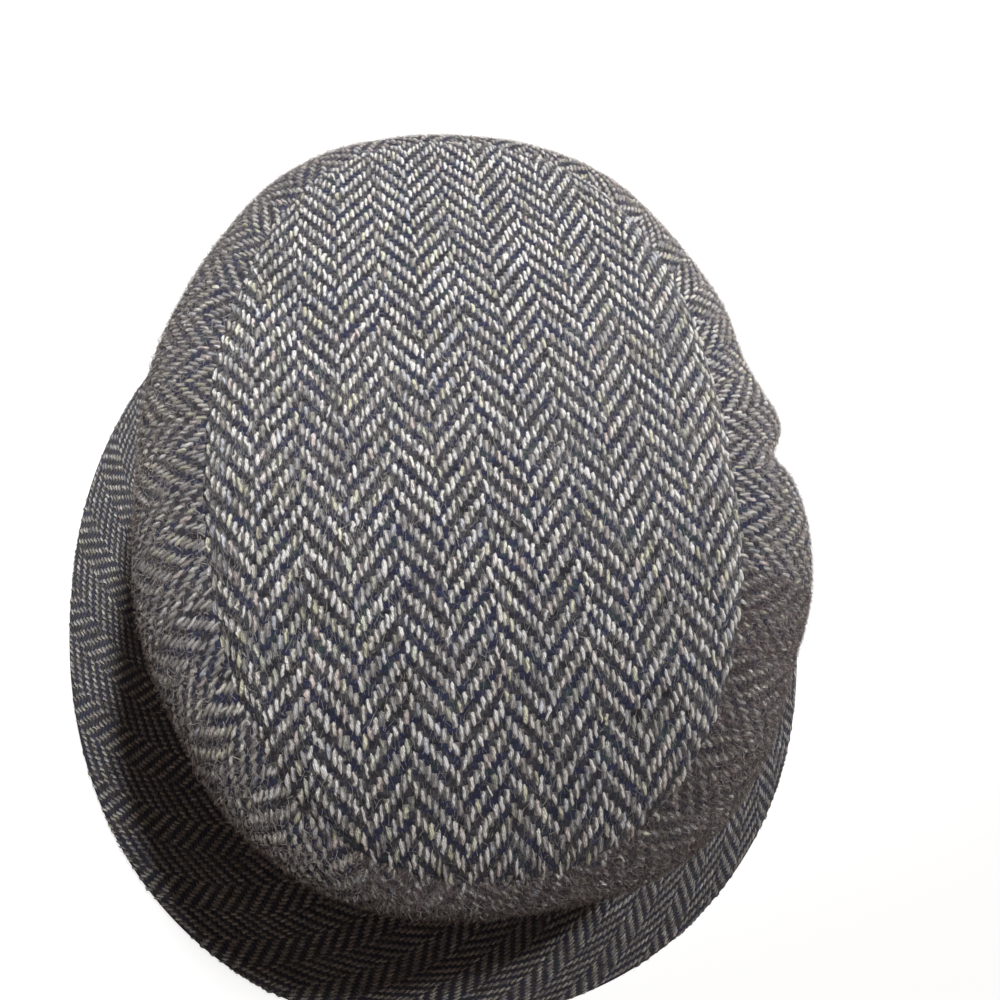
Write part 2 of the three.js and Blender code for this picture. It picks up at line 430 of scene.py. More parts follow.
def float_lattice(low, high):
    """The middles of all warp floats between two corners in ends and picks."""
    end = np.arange(math.floor(low[0]), math.ceil(high[0]) + 1)
    first, last = math.floor(low[1] / REPEAT) - SPARE_TURNS, math.ceil(high[1] / REPEAT) + SPARE_TURNS
    turn = np.arange(first, last + 1)
    end, turn = np.meshgrid(end, turn, indexing="ij")
    place = np.stack([end + 0.5, REPEAT * turn + 1 - float_shift(end)], -1).reshape(-1, 2)
    return place[(place[:, 1] > low[1]) & (place[:, 1] < high[1])]


def factors(count, spread, least, most, rng):
    """A chance factor for each float."""
    return np.clip(rng.normal(1, spread, (count, 1, 1)), least, most)


def add_floats(name, place, across, along, normal, size, material, rng):
    """All warp floats of one cloth as one mesh: uneven ridges of yarn whose two ends dive into the cloth.

    Across and along are steps of one end and one pick at each place.
    """
    count = len(place)
    rows, columns = size["rows"], size["columns"]
    t = np.linspace(-1, 1, rows)[None, :, None]
    bend = np.linspace(0, np.pi, columns)[None, None, :]
    full = (1 - t**2) ** 0.5
    rough = rng.normal(1, UNEVEN["rough"], (count, rows, 1))
    sway = rng.normal(0, UNEVEN["sway"], (count, rows, 1))
    sway = sway + rng.normal(0, UNEVEN["slant"], (count, 1, 1)) * t
    width = size["width"] * rng.normal(1, UNEVEN["width"], (count, 1, 1))
    length = size["length"] * factors(count, *UNEVEN_LENGTH, rng)
    height = size["height"] * factors(count, *UNEVEN_HEIGHT, rng)
    wide = TIP_WIDTH_SHARE + (1 - TIP_WIDTH_SHARE) * full
    high = TIP_HEIGHT_SHARE + (1 - TIP_HEIGHT_SHARE) * full
    x = -np.cos(bend) / 2 * wide * rough * width + sway
    y = t / 2 * length + 0 * bend
    z = height * (np.sin(bend) * high * rough - FLOAT_DIVE * (1 - full) - FLOAT_BED)
    span, pitch = np.linalg.norm(across, axis=1), np.linalg.norm(along, axis=1)
    run = unit(along)
    side = unit(np.cross(run, normal))
    start = place + across * rng.normal(0, UNEVEN["end"], (count, 1))
    start = start + along * rng.normal(0, UNEVEN["pick"], (count, 1))
    ridge = (
        side[:, None, None] * (x * span[:, None, None])[..., None]
        + run[:, None, None] * (y * pitch[:, None, None])[..., None]
        + normal[:, None, None] * z[..., None]
    )
    vertices = (start[:, None, None] + ridge).reshape(-1, 3)
    faces = strip_faces(rows, columns, count)
    piece = add_piece(name, vertices, faces, [material])
    spot = np.stack([x + 0 * y, y + 0 * x], -1) + rng.integers(0, MANY_TWISTS, (count, 1, 1, 2))
    add_weave_map(piece, spot.reshape(-1, 2)[faces.reshape(-1)])
    light = factors(count, *UNEVEN_LIGHT, rng)
    light = light * np.exp(FLOAT_DRIFT * drifting(place, size["patch"], rng))[:, None, None]
    # Painted shade: the tint darkens along the float's sides, at its diving ends and where it is thin
    side_painted_shade = FLOAT_SIDE_PAINTED_SHADE + (1 - FLOAT_SIDE_PAINTED_SHADE) * np.sin(bend)
    end_painted_shade = FLOAT_END_PAINTED_SHADE + (1 - FLOAT_END_PAINTED_SHADE) * full
    shade = light * side_painted_shade * end_painted_shade * np.clip(rough, *ROUGH_PAINTED_LIGHT)
    # The part's "light" is painted light and shade
    colour = size["light"] * wool_colours(YARN_COLOURS, place, size["patch"], rng)
    add_tint(piece, np.clip(colour[:, None, None] * shade[..., None], 0, MOST_LIGHT).reshape(-1, 3))


def wall_floats(name, grid, weave, size, material, rng):
    """Warp floats over a wall of cloth, between two shares of its depth."""
    low, high = size["shares"]
    weave = np.asarray(weave, float)
    back = np.linalg.inv(weave).T
    corners = np.array([(a, d) for a in (0, 1) for d in (low, high)]) @ weave.T
    lattice = float_lattice(corners.min(axis=0), corners.max(axis=0))
    share = lattice @ back
    inside = (share[:, 0] >= 0) & (share[:, 0] < 1) & (share[:, 1] > low) & (share[:, 1] < high)
    share = share[inside]
    half_end, half_pick = np.array([0.5, 0]) @ back, np.array([0, 0.5]) @ back

    def spot(move):
        return sample_grid(grid, share[:, 0] + move[0], share[:, 1] + move[1])

    normal = unit(sample_grid(grid_normals(grid), share[:, 0], share[:, 1]))
    across = spot(half_end) - spot(-half_end)
    along = spot(half_pick) - spot(-half_pick)
    add_floats(name, spot((0, 0)), across, along, normal, size, material, rng)


# Loose wool. "steps" part a fibre, "lean" and "curl" are the spread of its turn away from the yarn and of its
# bend, "lift" is how high it arches, "free" how much of the arch it has, and "bed" how high it starts.

NAP = {
    "steps": 1, "lean": 0.45, "curl": 0, "length": (0.9, 3.0), "lift": (0.1, 0.5), "free": (0.6, 1.0),
    "bed": 0.2, "width": 0.09, "colours": NAP_COLOURS,
}
FUZZ = {
    "steps": 1, "lean": 1.2, "curl": 0, "length": (0.8, 2.3), "lift": (0.2, 1.0), "free": (0.5, 1.0),
    "bed": 0.2, "width": 0.11, "colours": FUZZ_COLOURS,
}
# Fuzz whose colours carry painted shade
PAINTED_SHADE_FUZZ = {**FUZZ, "colours": PAINTED_SHADE_FUZZ_COLOURS}
HALO = {
    "steps": 3, "lean": 1.6, "curl": 0.3, "length": (1.2, 3.6), "lift": (0.5, 1.4), "free": (0.45, 0.9),
    "bed": 0.1, "width": 0.07, "colours": FUZZ_COLOURS,
}

# The layers on the tip: name, count, the share of the tip's reach where they begin, and kind
TIP_FIBRES = (
    ("crown_tip_nap", 32000, 0.0, NAP),
    ("crown_tip_seam_nap", 4000, 0.93, NAP),
    ("crown_tip_halo", 1500, 0.0, HALO),
)

# The layers on the two walls: name, count, two shares round the wall, two shares down it, and kind
SIDE_FIBRES = (
    ("crown_side_fuzz", 26000, (0, 1), (0.05, 1.0), FUZZ),
    ("crown_side_bulge_fuzz", 30000, (0, 1), (0.14, 0.55), FUZZ),
    # Fuzz on the near side band, darkened as painted shade where it turns from the lamp
    ("crown_side_near_painted_shade_fuzz", 24000, (0.44, 0.68), (0.05, 0.45), PAINTED_SHADE_FUZZ),
    ("crown_side_halo", 12000, (0, 1), (0.05, 1.0), HALO),
)
# The brim's fuzz is darkened as painted shade
BRIM_FIBRES = (("brim_painted_shade_fuzz", 16000, (0, 1), (0.02, 0.95), PAINTED_SHADE_FUZZ),)

FIBRE_SHORTNESS = 1.8  # above 1, more of the fibres are short
FIBRE_TILT = 0.6  # spread of how far a fibre's face turns up or down
FIBRE_TAPER = 0.45  # share of its width that a fibre loses
FIBRE_WIDTHS = (0.6, 1.25)  # least and most, as a factor
FIBRE_SHADES = (0.65, 1.25)
FIBRE_PATCH = 14.0  # how far a patch of colour reaches
FIBRE_MOST_LIGHT = 0.8  # the lightest tint
TIP_FIBRES_END = 0.999  # share of the square of the tip's reach


def add_fibres(name, place, run, normal, size, material, rng):
    """Fine fibres on a cloth, each a narrow ribbon that arches up and is turned away from the yarn."""
    count = len(place)
    steps = size["steps"]
    lean = rng.normal(0, size["lean"], (count, 1))
    side = unit(np.cross(run, normal))
    heading = unit(run * np.cos(lean) + side * np.sin(lean))
    beside = unit(np.cross(heading, normal))
    low, high = size["length"]
    length = (low + (high - low) * rng.uniform(0, 1, count) ** FIBRE_SHORTNESS)[:, None, None]
    t = np.linspace(0, 1, steps + 1)[None, :, None]
    curl = rng.normal(0, size["curl"], (count, 1, 1))
    rise = rng.uniform(*size["lift"], (count, 1, 1))
    arch = np.sin(np.pi * t * rng.uniform(*size["free"], (count, 1, 1)))
    line = (
        place[:, None]
        + heading[:, None] * length * (t - 0.5)
        + beside[:, None] * length * curl * (t - 0.5) ** 2 * 2
        + normal[:, None] * (size["bed"] + rise * arch)
    )
    face = unit(beside + normal * rng.normal(0, FIBRE_TILT, (count, 1)))[:, None]
    half = face * rng.uniform(*FIBRE_WIDTHS, (count, 1, 1)) * size["width"] / 2 * (1 - FIBRE_TAPER * t)
    ribbon = np.stack([line - half, line + half], axis=2)
    piece = add_piece(name, ribbon.reshape(-1, 3), strip_faces(steps + 1, 2, count), [material])
    colour = wool_colours(size["colours"], place, FIBRE_PATCH, rng)
    colour = colour * rng.uniform(*FIBRE_SHADES, (count, 1))
    add_tint(piece, np.repeat(np.clip(colour, 0, FIBRE_MOST_LIGHT), 2 * (steps + 1), axis=0))


def wall_fibres(layers, grid, weave, material, rng):
    """Loose fibres scattered over a wall of cloth."""
    step = np.array([0, 0.5]) @ np.linalg.inv(np.asarray(weave, float)).T
    for name, count, round_it, down_it, size in layers:
        around, down = rng.uniform(*round_it, count), rng.uniform(*down_it, count)
        place = sample_grid(grid, around, down)
        run = unit(sample_grid(grid, around + step[0], down + step[1]) - place)
        normal = unit(sample_grid(grid_normals(grid), around, down))
        add_fibres(name, place, run, normal, size, material, rng)


# Materials. Grains are how often a noise repeats in a metre.

WOOL = {"Roughness": 0.92, "Specular IOR Level": 0.15, "Sheen Weight": 0.15, "Sheen Roughness": 0.6}
# Where floats lie, the rest of the warp's colour gives way to painted shade
COVERED_WARP = 0.35  # share of the cloth's own warp colour that shows where real floats lie on it
WOBBLE_GRAINS = (1500.0, 1300.0)  # of the ends and of the picks
WOBBLE = 0.5  # threads by which they wander
WEFT_RISE = 0.55  # height of the weft's ridges, in those of the warp
HAIR_GRAIN = 2400.0
FLOAT_HAIR_GRAIN = 2300.0
FIBRE_GRAIN = 700.0
DRIFT_GRAIN = 420.0
WANDER_GRAIN = 900.0
PATCH_STEPS = (0.15, 0.22)  # of the weft's patches of colour, in an end and in a pick
TWIST = {"ends": 2.6, "picks": 0.8, "wander": 2.4}  # turns of a float's twist

# How much each thing adds to the light and to the relief
CLOTH_LIGHT = {"hairs": 1.7, "base": 0.15, "drift": 2.4, "drift_base": -0.2}
# The strands darken the yarn in the grooves of its twist: painted shade
YARN_LIGHT = {"strands": 0.12, "hairs": 1.75, "base": 0.20}
FIBRE_LIGHT = {"grain": 0.8, "base": 0.6}
HAIR_RELIEF = 0.5
STRAND_RELIEF = 0.35
BUMP_STRENGTH = 0.9
CLOTH_BUMP = 0.45  # millimetres
YARN_BUMP = 0.22


def new_material(name):
    material = bpy.data.materials.new(name)
    material.use_nodes = True
    tree = material.node_tree
    shader = tree.nodes["Principled BSDF"]
    for socket, value in WOOL.items():
        shader.inputs[socket].default_value = value
    return material, tree, shader


def maths(tree, operation, first, second=None, third=None):
    node = tree.nodes.new("ShaderNodeMath")
    node.operation = operation
    for socket, value in zip(node.inputs, (first, second, third)):
        if isinstance(value, (int, float)):
            socket.default_value = value
        elif value is not None:
            tree.links.new(value, socket)
    return node.outputs[0]


def noise(tree, vector, scale, detail=2.0, roughness=0.5):
    node = tree.nodes.new("ShaderNodeTexNoise")
    node.inputs["Scale"].default_value = scale
    node.inputs["Detail"].default_value = detail
    node.inputs["Roughness"].default_value = roughness
    tree.links.new(vector, node.inputs["Vector"])
    return node.outputs["Fac"]


def joined(tree, first, second):
    node = tree.nodes.new("ShaderNodeCombineXYZ")
    tree.links.new(first, node.inputs[0])
    tree.links.new(second, node.inputs[1])
    return node.outputs[0]


def ramp(tree, value, stops):
    node = tree.nodes.new("ShaderNodeValToRGB")
    elements = node.color_ramp.elements
    while len(elements) < len(stops):
        elements.new(0.5)
    for element, (place, colour) in zip(elements, stops):
        element.position = place
        element.color = (*colour, 1)
    tree.links.new(value, node.inputs[0])
    return node.outputs[0]


def mix_colour(tree, share, first, second, kind="MIX"):
    node = tree.nodes.new("ShaderNodeMix")
    node.data_type = "RGBA"
    node.blend_type = kind
    for socket, value in ((node.inputs[0], share), (node.inputs[6], first), (node.inputs[7], second)):
        if isinstance(value, (int, float)):
            socket.default_value = value
        elif isinstance(value, tuple):
            socket.default_value = (*value, 1)
        else:
            tree.links.new(value, socket)
    return node.outputs[2]


def lighten(tree, colour, light):
    """A colour times a grey value."""
    grey = tree.nodes.new("ShaderNodeCombineColor")
    for socket in grey.inputs[:3]:
        tree.links.new(light, socket)
    return mix_colour(tree, 1.0, colour, grey.outputs[0], "MULTIPLY")


def bump(tree, height, distance):
    node = tree.nodes.new("ShaderNodeBump")
    node.inputs["Strength"].default_value = BUMP_STRENGTH
    node.inputs["Distance"].default_value = distance
    tree.links.new(height, node.inputs["Height"])
    return node.outputs[0]


def object_places(tree):
    return tree.nodes.new("ShaderNodeTexCoord").outputs["Object"]


def weave_places(tree):
    weave = tree.nodes.new("ShaderNodeUVMap")
    weave.uv_map = "weave"
    parts = tree.nodes.new("ShaderNodeSeparateXYZ")
    tree.links.new(weave.outputs[0], parts.inputs[0])
    return parts.outputs[0], parts.outputs[1]


def white_noise(tree, first, second):
    node = tree.nodes.new("ShaderNodeTexWhiteNoise")
    node.noise_dimensions = "2D"
    tree.links.new(joined(tree, first, second), node.inputs["Vector"])
    return node.outputs["Value"]


def wandering(tree, threads, grain):
    """Threads that wander a little to both sides."""
    chance = noise(tree, object_places(tree), grain, detail=1.0)
    moved = maths(tree, "MULTIPLY_ADD", chance, WOBBLE, threads)
    return maths(tree, "SUBTRACT", moved, WOBBLE / 2)


def ridges(tree, share):
    """A round ridge over each whole step of a share."""
    return maths(tree, "SINE", maths(tree, "MULTIPLY", maths(tree, "FRACT", share), math.pi))


def woven(tree, ends, picks):
    """A chance value for each float, whether the warp is over the weft, and the weave's height."""
    end = maths(tree, "FLOOR", ends)
    place = maths(tree, "FLOORED_MODULO", end, 2 * HALF_COLUMN)
    rising = maths(tree, "LESS_THAN", place, HALF_COLUMN - 0.5)
    falling = maths(tree, "SUBTRACT", 2 * HALF_COLUMN + 1, place)
    gap = maths(tree, "SUBTRACT", place, falling)
    shift = maths(tree, "MULTIPLY_ADD", gap, rising, falling)
    turn = maths(tree, "DIVIDE", maths(tree, "ADD", picks, shift), REPEAT)
    phase = maths(tree, "FRACT", turn)
    over = maths(tree, "LESS_THAN", phase, 0.5)
    along = maths(tree, "ABSOLUTE", maths(tree, "SINE", maths(tree, "MULTIPLY", phase, 2 * math.pi)))
    warp_height = maths(tree, "MULTIPLY", ridges(tree, ends), maths(tree, "POWER", along, 0.5))
    weft_height = maths(tree, "MULTIPLY", ridges(tree, picks), WEFT_RISE)
    rise = maths(tree, "SUBTRACT", warp_height, weft_height)
    height = maths(tree, "MULTIPLY_ADD", rise, over, weft_height)
    return white_noise(tree, end, maths(tree, "FLOOR", turn)), over, height


def cloth_material(name, unshaded_warp):
    """The woven cloth. Its own warp shows with a share of its colour, and the rest gives way to painted
    shade, nearly black, for the crevices under the floats.
    """
    material, tree, shader = new_material(name)
    ends, picks = (wandering(tree, *both) for both in zip(weave_places(tree), WOBBLE_GRAINS))
    chance, over, height = woven(tree, ends, picks)
    places = object_places(tree)
    hairs = noise(tree, places, HAIR_GRAIN, detail=3.0, roughness=0.65)
    drift = noise(tree, places, DRIFT_GRAIN, detail=3.0, roughness=0.6)
    patches = joined(tree, *(maths(tree, "MULTIPLY", *both) for both in zip((ends, picks), PATCH_STEPS)))
    weft = ramp(tree, noise(tree, patches, 1.0, roughness=0.6), WEFT_STOPS)
    # The warp darkened towards painted shade by the share that floats cover
    warp = mix_colour(tree, 1.0 - unshaded_warp, ramp(tree, chance, WARP_STOPS), PAINTED_SHADE_WARP)
    colour = mix_colour(tree, over, weft, warp)
    light = maths(tree, "MULTIPLY_ADD", hairs, CLOTH_LIGHT["hairs"], CLOTH_LIGHT["base"])
    drift = maths(tree, "MULTIPLY_ADD", drift, CLOTH_LIGHT["drift"], CLOTH_LIGHT["drift_base"])
    light = maths(tree, "MULTIPLY", light, drift)
    tree.links.new(lighten(tree, colour, light), shader.inputs["Base Color"])
    relief = maths(tree, "MULTIPLY_ADD", hairs, HAIR_RELIEF, height)
    tree.links.new(bump(tree, relief, CLOTH_BUMP * MM), shader.inputs["Normal"])
    return material


def tint(tree):
    node = tree.nodes.new("ShaderNodeAttribute")
    node.attribute_name = "tint"
    return node.outputs["Color"]


def yarn_material(name):
    """A float of woollen yarn: its own tint, which holds painted shade, with twisted and stray fibres and
    painted shade in the twist's grooves.
    """
    material, tree, shader = new_material(name)
    ends, picks = weave_places(tree)
    places = object_places(tree)
    wander = noise(tree, places, WANDER_GRAIN)
    twist = maths(tree, "MULTIPLY_ADD", ends, TWIST["ends"], maths(tree, "MULTIPLY", picks, TWIST["picks"]))
    twist = maths(tree, "MULTIPLY_ADD", wander, TWIST["wander"], twist)
    strands = maths(tree, "SINE", maths(tree, "MULTIPLY", twist, 2 * math.pi))
    hairs = noise(tree, places, FLOAT_HAIR_GRAIN, detail=3.0, roughness=0.7)
    light = maths(tree, "MULTIPLY_ADD", strands, YARN_LIGHT["strands"], YARN_LIGHT["base"])
    light = maths(tree, "MULTIPLY_ADD", hairs, YARN_LIGHT["hairs"], light)
    tree.links.new(lighten(tree, tint(tree), light), shader.inputs["Base Color"])
    relief = maths(tree, "MULTIPLY_ADD", strands, STRAND_RELIEF, hairs)
    tree.links.new(bump(tree, relief, YARN_BUMP * MM), shader.inputs["Normal"])
    return material


def fibre_material(name):
    """Loose wool: the tint of each fibre, a little uneven along it."""
    material, tree, shader = new_material(name)
    grain = noise(tree, object_places(tree), FIBRE_GRAIN)
    light = maths(tree, "MULTIPLY_ADD", grain, FIBRE_LIGHT["grain"], FIBRE_LIGHT["base"])
    tree.links.new(lighten(tree, tint(tree), light), shader.inputs["Base Color"])
    return material


# The tip

TIP_EDGE_TURN = 6.0  # width of the edge that turns down to the seam
TIP_EDGE_FALL = 2.1  # how far it turns down
TIP_REACH = (48, 68)  # ends and picks from the tip's middle to its edge
TIP_LATTICE = ((-58, -80), (58, 84))  # two corners in ends and picks, with the whole tip between them
TIP_OVERHANG = 0.7  # how far past the edge a float's middle may lie

# Rings of the tip at shares of its reach: the fine top face, then the edge that turns down
TIP_RINGS = 34
TIP_SHARES = (0.004, 0.955)
TIP_EDGE_RINGS = 9
TIP_EDGE_SHARES = (0.965, 1.02)
UNDERSIDE_EVERY = 4  # the underside has one ring for this many of the top face
EDGE_CLOTH = 0.25  # least thickness of the edge

# Slow waves of the top face, sunk by their own rise so that none stands above the dome. The pairs are a
# wave's length, over a full turn's radians, and its start.
TIP_SWAY = 0.35
SWAY_ACROSS = (13, 0.6)
SWAY_ALONG = (19, 1.1)

# How the cloth was drawn off its straight lattice as it was sewn in, in threads at the tip's edge. The first
# amount is the same all over. The others grow to both sides, to the far end, across and to both sides at the
# far end, to the near end, and across at the near end.
ENDS_DRIFT = (0.2, 0.4, -0.2, -4.3, 0.0, -1.3, -1.3)
PICKS_DRIFT = (-0.4, 1.3, -1.8, 3.5, 4.0, -0.7, -2.8)
DRIFT_ROUNDS = 4  # rounds that bring a drawn thread to its place


def tip_drift(threads):
    """The drift of the cloth at places given in ends and picks."""
    x, y = threads[..., 0] / TIP_REACH[0], threads[..., 1] / TIP_REACH[1]
    far, near = np.clip(y, 0, None) ** 2, np.clip(y, None, 0) ** 2
    growth = np.stack([x**0, x * x, far, x * far, x * x * far, near, x * near], -1)
    return np.stack([growth @ np.array(ENDS_DRIFT), growth @ np.array(PICKS_DRIFT)], -1)


def tip_threads(x, y):
    """The ends and picks at places of the tip."""
    straight = np.stack([(x - PEAK_X) / END, (y - PICK_SHIFT) / PICK], -1)
    return straight - tip_drift(straight)


def tip_places(threads):
    """The places of ends and picks on the tip."""
    straight = threads
    for _ in range(DRIFT_ROUNDS):
        straight = threads + tip_drift(straight)
    return straight[..., 0] * END + PEAK_X, straight[..., 1] * PICK + PICK_SHIFT


def tip_level():
    values = {"drop": 0.0, "follow": 1.0, **TIP_OVAL}
    return np.array([values[name] for name in LEVEL_COLUMNS])


def tip_height(x, y):
    """The top face's height, and the distance to the tip's edge, over points of the plan."""
    turn = math.radians(TIP_OVAL["turn"])
    dx, dy = x - TIP_OVAL["x"], y - TIP_OVAL["y"]
    across = dx * math.cos(turn) + dy * math.sin(turn)
    along = dy * math.cos(turn) - dx * math.sin(turn)
    edge = level_points(tip_level()[None], np.arctan2(along, across))[..., :2]
    edge = edge - np.array([TIP_OVAL["x"], TIP_OVAL["y"]])
    away = np.linalg.norm(edge, axis=-1) - np.hypot(across, along)
    fall = dome_fall(across / TIP_OVAL["half_width"], along / TIP_OVAL["half_length"])
    roll = TIP_EDGE_FALL * np.clip(1 - away / TIP_EDGE_TURN, 0, None) ** 2
    sway = TIP_SWAY * np.sin(x / SWAY_ACROSS[0] + SWAY_ACROSS[1]) * np.sin(y / SWAY_ALONG[0] + SWAY_ALONG[1])
    return HEIGHT - fall - roll + sway - TIP_SWAY, away


def tip_points(x, y):
    return np.stack([x, y, tip_height(x, y)[0]], -1)


def crown_tip(materials):
    """The domed tip, whose top face is fine and whose edge rolls over the seam."""
    angles, _ = even_angles(tip_level(), STATIONS)
    shares = [np.linspace(*TIP_SHARES, TIP_RINGS), np.linspace(*TIP_EDGE_SHARES, TIP_EDGE_RINGS)]
    shares = np.concatenate(shares)
    flat = level_points(tip_level()[None, None], angles[:, None], shares[None, :])
    top = tip_points(flat[..., 0], flat[..., 1])
    below = flat[:, ::-UNDERSIDE_EVERY].copy()
    most = top[:, ::-UNDERSIDE_EVERY, 2] - EDGE_CLOTH
    below[..., 2] = np.minimum(below[..., 2] - CLOTH, most)
    sections = np.concatenate([top, below], axis=1)
    count = sections.shape[1]
    faces, _, down = ring_faces(STATIONS, count, closed=False)
    points = sections.reshape(-1, 3)
    outside = (down < top.shape[1]).all(axis=1)
    piece = add_piece("crown_tip_cloth", points, faces, materials, np.where(outside, 0, 1))
    threads = tip_threads(points[:, 0], points[:, 1])
    add_weave_map(piece, threads[faces.reshape(-1)])
    close_middles(piece)
    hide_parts("crown_tip")


def close_middles(piece):
    """Fills the two small rings that are left round the tip's middle."""
    form = bmesh.new()
    form.from_mesh(piece.data)
    layer = form.loops.layers.uv["weave"]
    edges = [edge for edge in form.edges if edge.is_boundary]
    made = bmesh.ops.holes_fill(form, edges=edges, sides=0)
    for face in made["faces"]:
        face.smooth = True
        for loop in face.loops:
            place = loop.vert.co / MM
            loop[layer].uv = tuple(tip_threads(np.float64(place.x), np.float64(place.y)))
    form.to_mesh(piece.data)
    form.free()


def tip_frame(x, y):
    """Places on the tip with a step of one end, a step of one pick and the normal there."""
    across = tip_points(x + END / 2, y) - tip_points(x - END / 2, y)
    along = tip_points(x, y + PICK / 2) - tip_points(x, y - PICK / 2)
    return tip_points(x, y), across, along, unit(np.cross(across, along))


def tip_floats(material, rng):
    x, y = tip_places(float_lattice(*TIP_LATTICE))
    inside = tip_height(x, y)[1] > -TIP_OVERHANG
    place, across, along, normal = tip_frame(x[inside], y[inside])
    add_floats("crown_tip_yarn", place, across, along, normal, TIP_FLOATS, material, rng)


def tip_fibres(material, rng):
    """Loose fibres scattered over the tip."""
    for name, count, inmost, size in TIP_FIBRES:
        angle = rng.uniform(0, 2 * np.pi, count)
        share = rng.uniform(inmost**2, TIP_FIBRES_END, count) ** 0.5
        flat = level_points(tip_level()[None], angle, share)
        place, _, along, normal = tip_frame(flat[:, 0], flat[:, 1])
        add_fibres(name, place, unit(along), normal, size, material, rng)


# The side band and the brim

RIM_STEPS = 14  # of the rim's round
RIM_SLOPE_STEPS = 7  # of an outline, over which its slope at the rim is taken
RIM_BLEND = 0.25  # share of the brim's depth that shifts to meet the round


def inner_face(grid, thickness):
    """The inner face of a wall, with fewer rows than the outer one."""
    inner = grid - grid_normals(grid) * thickness
    keep = np.arange(0, grid.shape[1], INNER_EVERY)
    keep[-1] = grid.shape[1] - 1
    return inner[:, keep]


def crown_side(materials, yarn, fibre, rng):
    """The soft side band, with its yarn and its fuzz."""
    profiles, _ = fine_profiles(SIDE_LEVELS)
    grid, depth = even_rows(profiles, SIDE_ROWS)
    grid = soften(grid, SIDE_WAVES, rng)
    weave = ((SIDE_ENDS, 0), (0, depth / PICK))
    piece = wall_piece("crown_side_cloth", grid, inner_face(grid, CLOTH), weave, materials)
    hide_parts("crown_side")
    wall_floats("crown_side_yarn", grid, weave, SIDE_FLOATS, yarn, rng)
    wall_fibres(SIDE_FIBRES, grid, weave, fibre, rng)


def roll_rim(profiles):
    """Turns the rim over a small round, which reaches as far out and down as the plain rim did."""
    corner = profiles[:, -1]
    outwards = unit(corner * np.array([1, 1, 0]))
    down = unit(corner - profiles[:, -1 - RIM_SLOPE_STEPS])
    up = np.array([0, 0, 1.0])
    slope = np.arcsin(-down[:, 2])
    start = np.pi / 2 - slope
    centre = corner - outwards * RIM_ROLL + up * RIM_ROLL
    turns = start[:, None] + (-np.pi / 2 - start)[:, None] * np.linspace(0, 1, RIM_STEPS + 1)[None, :]
    arc = centre[:, None] + RIM_ROLL * (
        outwards[:, None] * np.cos(turns)[..., None] + up * np.sin(turns)[..., None]
    )
    share = np.clip((np.linspace(0, 1, profiles.shape[1]) - (1 - RIM_BLEND)) / RIM_BLEND, 0, 1)
    blend = (share**2 * (3 - 2 * share))[None, :, None]
    return np.concatenate([profiles + (arc[:, 0] - corner)[:, None] * blend, arc[:, 1:]], axis=1)


def brim(materials, yarn, fibre, rng):
    """The sloping brim, whose weave lies at a slant, with its yarn and its fuzz."""
    profiles, around = fine_profiles(BRIM_LEVELS)
    grid, depth = even_rows(roll_rim(profiles), BRIM_ROWS)
    grid = soften(grid, BRIM_WAVES, rng)
    plain, _ = even_rows(profiles, BRIM_ROWS)
    inner = inner_face(plain, BRIM_CLOTH)
    rim = plain[:, -1]
    inner[:, -1] = rim - unit(rim * np.array([1, 1, 0])) * (RIM_FLAT + RIM_ROLL)
    inner[:, 0, 2] = grid[:, 0, 2]
    bias = depth * BRIM_ENDS / around
    weave = ((BRIM_ENDS, bias), (-BRIM_PICKS, bias * BRIM_PICKS / BRIM_ENDS))
    piece = wall_piece("brim_cloth", grid, inner, weave, materials)
    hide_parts("brim")
    wall_floats("brim_yarn", grid, weave, BRIM_FLOATS, yarn, rng)
    wall_fibres(BRIM_FIBRES, grid, weave, fibre, rng)


# Stage. Lengths are in metres here, apart from the floor's drop.

FLOOR_REACH = 3.0
FLOOR_DROP = 0.3  # millimetres below the rim
FLOOR_GREY = 0.35
FLOOR_GLOW = 0.82
FLOOR_ROUGHNESS = 0.9
FLOOR_GLOSS = 0.1

LAMP_PLACE = (0.384, 0.384, 1.344)
LAMP_SIZE = 0.11
LAMP_COLOUR = (1.0, 0.99, 0.985)
LAMP_POWER = 8.6
LAMP_AIM = (0, 0, 0.06)
BEAM_POWER = 64.0
BEAM_AIM = (0, 0.60, 0)
BEAM_ANGLE = 60.1  # degrees
BEAM_BLEND = 0.33
ROOM_COLOUR = (1.0, 0.77, 0.67)
ROOM_LIGHT = 0.1


def add_stage():
    """A white floor that sends no light to the hat."""
    reach = FLOOR_REACH
    corners = [(-reach, -reach, 0), (reach, -reach, 0), (reach, reach, 0), (-reach, reach, 0)]
    mesh = bpy.data.meshes.new("floor")
    mesh.from_pydata(corners, [], [(0, 1, 2, 3)])
    floor = bpy.data.objects.new("floor", mesh)
    bpy.context.scene.collection.objects.link(floor)
    floor.location.z = -FLOOR_DROP * MM
    material = bpy.data.materials.new("floor")
    material.use_nodes = True
    shader = material.node_tree.nodes["Principled BSDF"]
    shader.inputs["Base Color"].default_value = (FLOOR_GREY, FLOOR_GREY, FLOOR_GREY, 1)
    shader.inputs["Roughness"].default_value = FLOOR_ROUGHNESS
    shader.inputs["Specular IOR Level"].default_value = FLOOR_GLOSS
    shader.inputs["Emission Color"].default_value = (1, 1, 1, 1)
    shader.inputs["Emission Strength"].default_value = FLOOR_GLOW
    floor.visible_diffuse = False
    floor.visible_glossy = False
    mesh.materials.append(material)


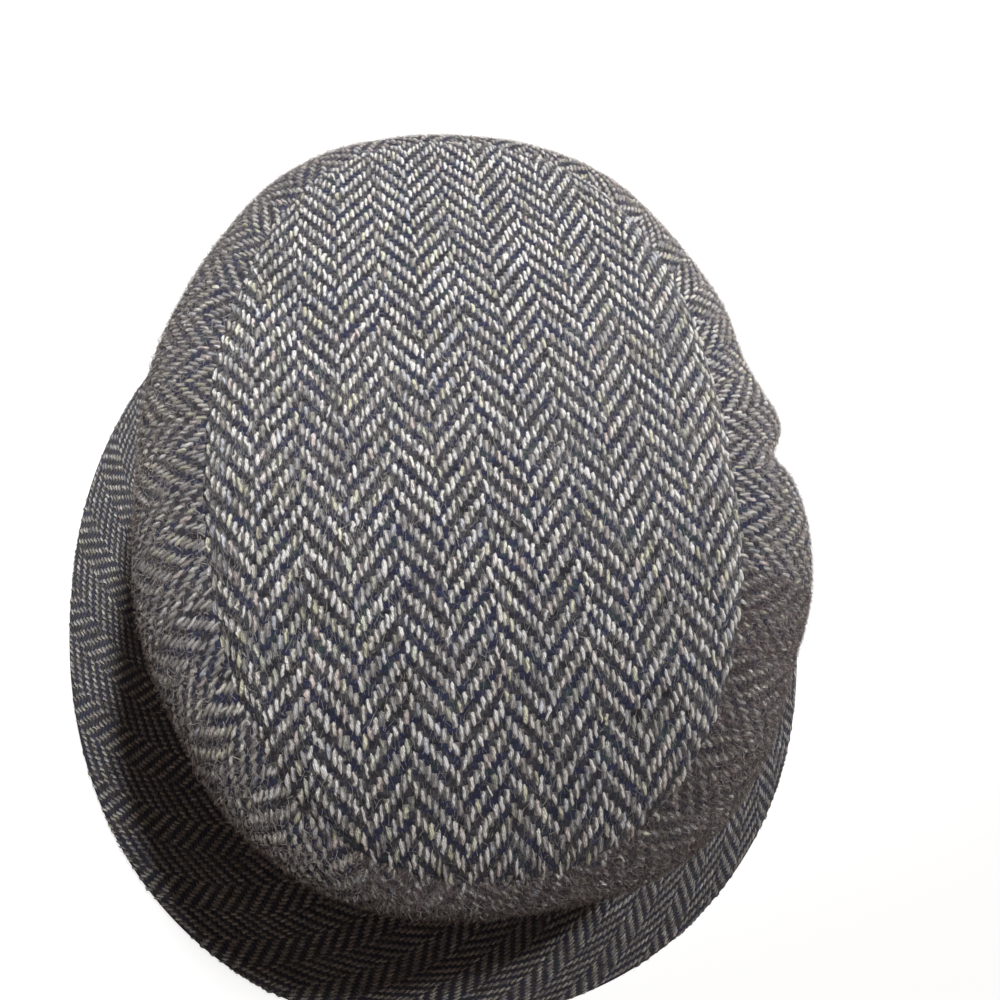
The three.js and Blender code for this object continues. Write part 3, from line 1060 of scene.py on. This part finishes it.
def add_lamp(name, kind, power, aim):
    data = bpy.data.lights.new(name, kind)
    data.energy = power
    data.color = LAMP_COLOUR
    lamp = bpy.data.objects.new(name, data)
    lamp.location = LAMP_PLACE
    way = Vector(aim) - Vector(LAMP_PLACE)
    lamp.rotation_euler = way.to_track_quat("-Z", "Y").to_euler()
    bpy.context.scene.collection.objects.link(lamp)
    return data


def add_lights():
    """Two lamps at one place, far to the right: one for all, and a beam that ends by the hat's near end."""
    wide = add_lamp("lamp", "AREA", LAMP_POWER, LAMP_AIM)
    wide.size = LAMP_SIZE
    beam = add_lamp("lamp_middle", "SPOT", BEAM_POWER, BEAM_AIM)
    beam.shadow_soft_size = LAMP_SIZE / 2
    beam.spot_size = math.radians(BEAM_ANGLE)
    beam.spot_blend = BEAM_BLEND


def add_room():
    """A dim warm light from all round, and plain colours in the picture."""
    world = bpy.data.worlds.new("studio")
    world.use_nodes = True
    back = world.node_tree.nodes["Background"]
    back.inputs["Color"].default_value = (*ROOM_COLOUR, 1)
    back.inputs["Strength"].default_value = ROOM_LIGHT
    bpy.context.scene.world = world
    bpy.context.scene.view_settings.view_transform = "Standard"
    bpy.context.scene.view_settings.look = "None"


def add_camera():
    data = bpy.data.cameras.new("camera")
    data.sensor_width = SENSOR
    data.lens = LENS
    data.clip_start = 0.01
    camera = bpy.data.objects.new("camera", data)
    back = -Vector(CAMERA_LOOK).normalized()
    right = Vector(CAMERA_UP).cross(back).normalized()
    up = back.cross(right)
    turn = Matrix((right, up, back)).transposed().to_4x4()
    camera.matrix_world = Matrix.Translation(Vector(CAMERA_PLACE) * MM) @ turn
    bpy.context.scene.collection.objects.link(camera)
    bpy.context.scene.camera = camera


def main():
    rng = np.random.default_rng(SEED)
    # The cloth under the floats holds painted shade
    covered = cloth_material("tweed_painted_shade_under_floats", COVERED_WARP)
    bare = cloth_material("tweed", 1.0)
    yarn = yarn_material("warp_yarn")
    fibre = fibre_material("loose_wool")
    crown_tip([covered, bare])
    tip_floats(yarn, rng)
    tip_fibres(fibre, rng)
    crown_side([covered, bare], yarn, fibre, rng)
    brim([covered, bare], yarn, fibre, rng)
    add_stage()
    add_lights()
    add_room()
    add_camera()


main()
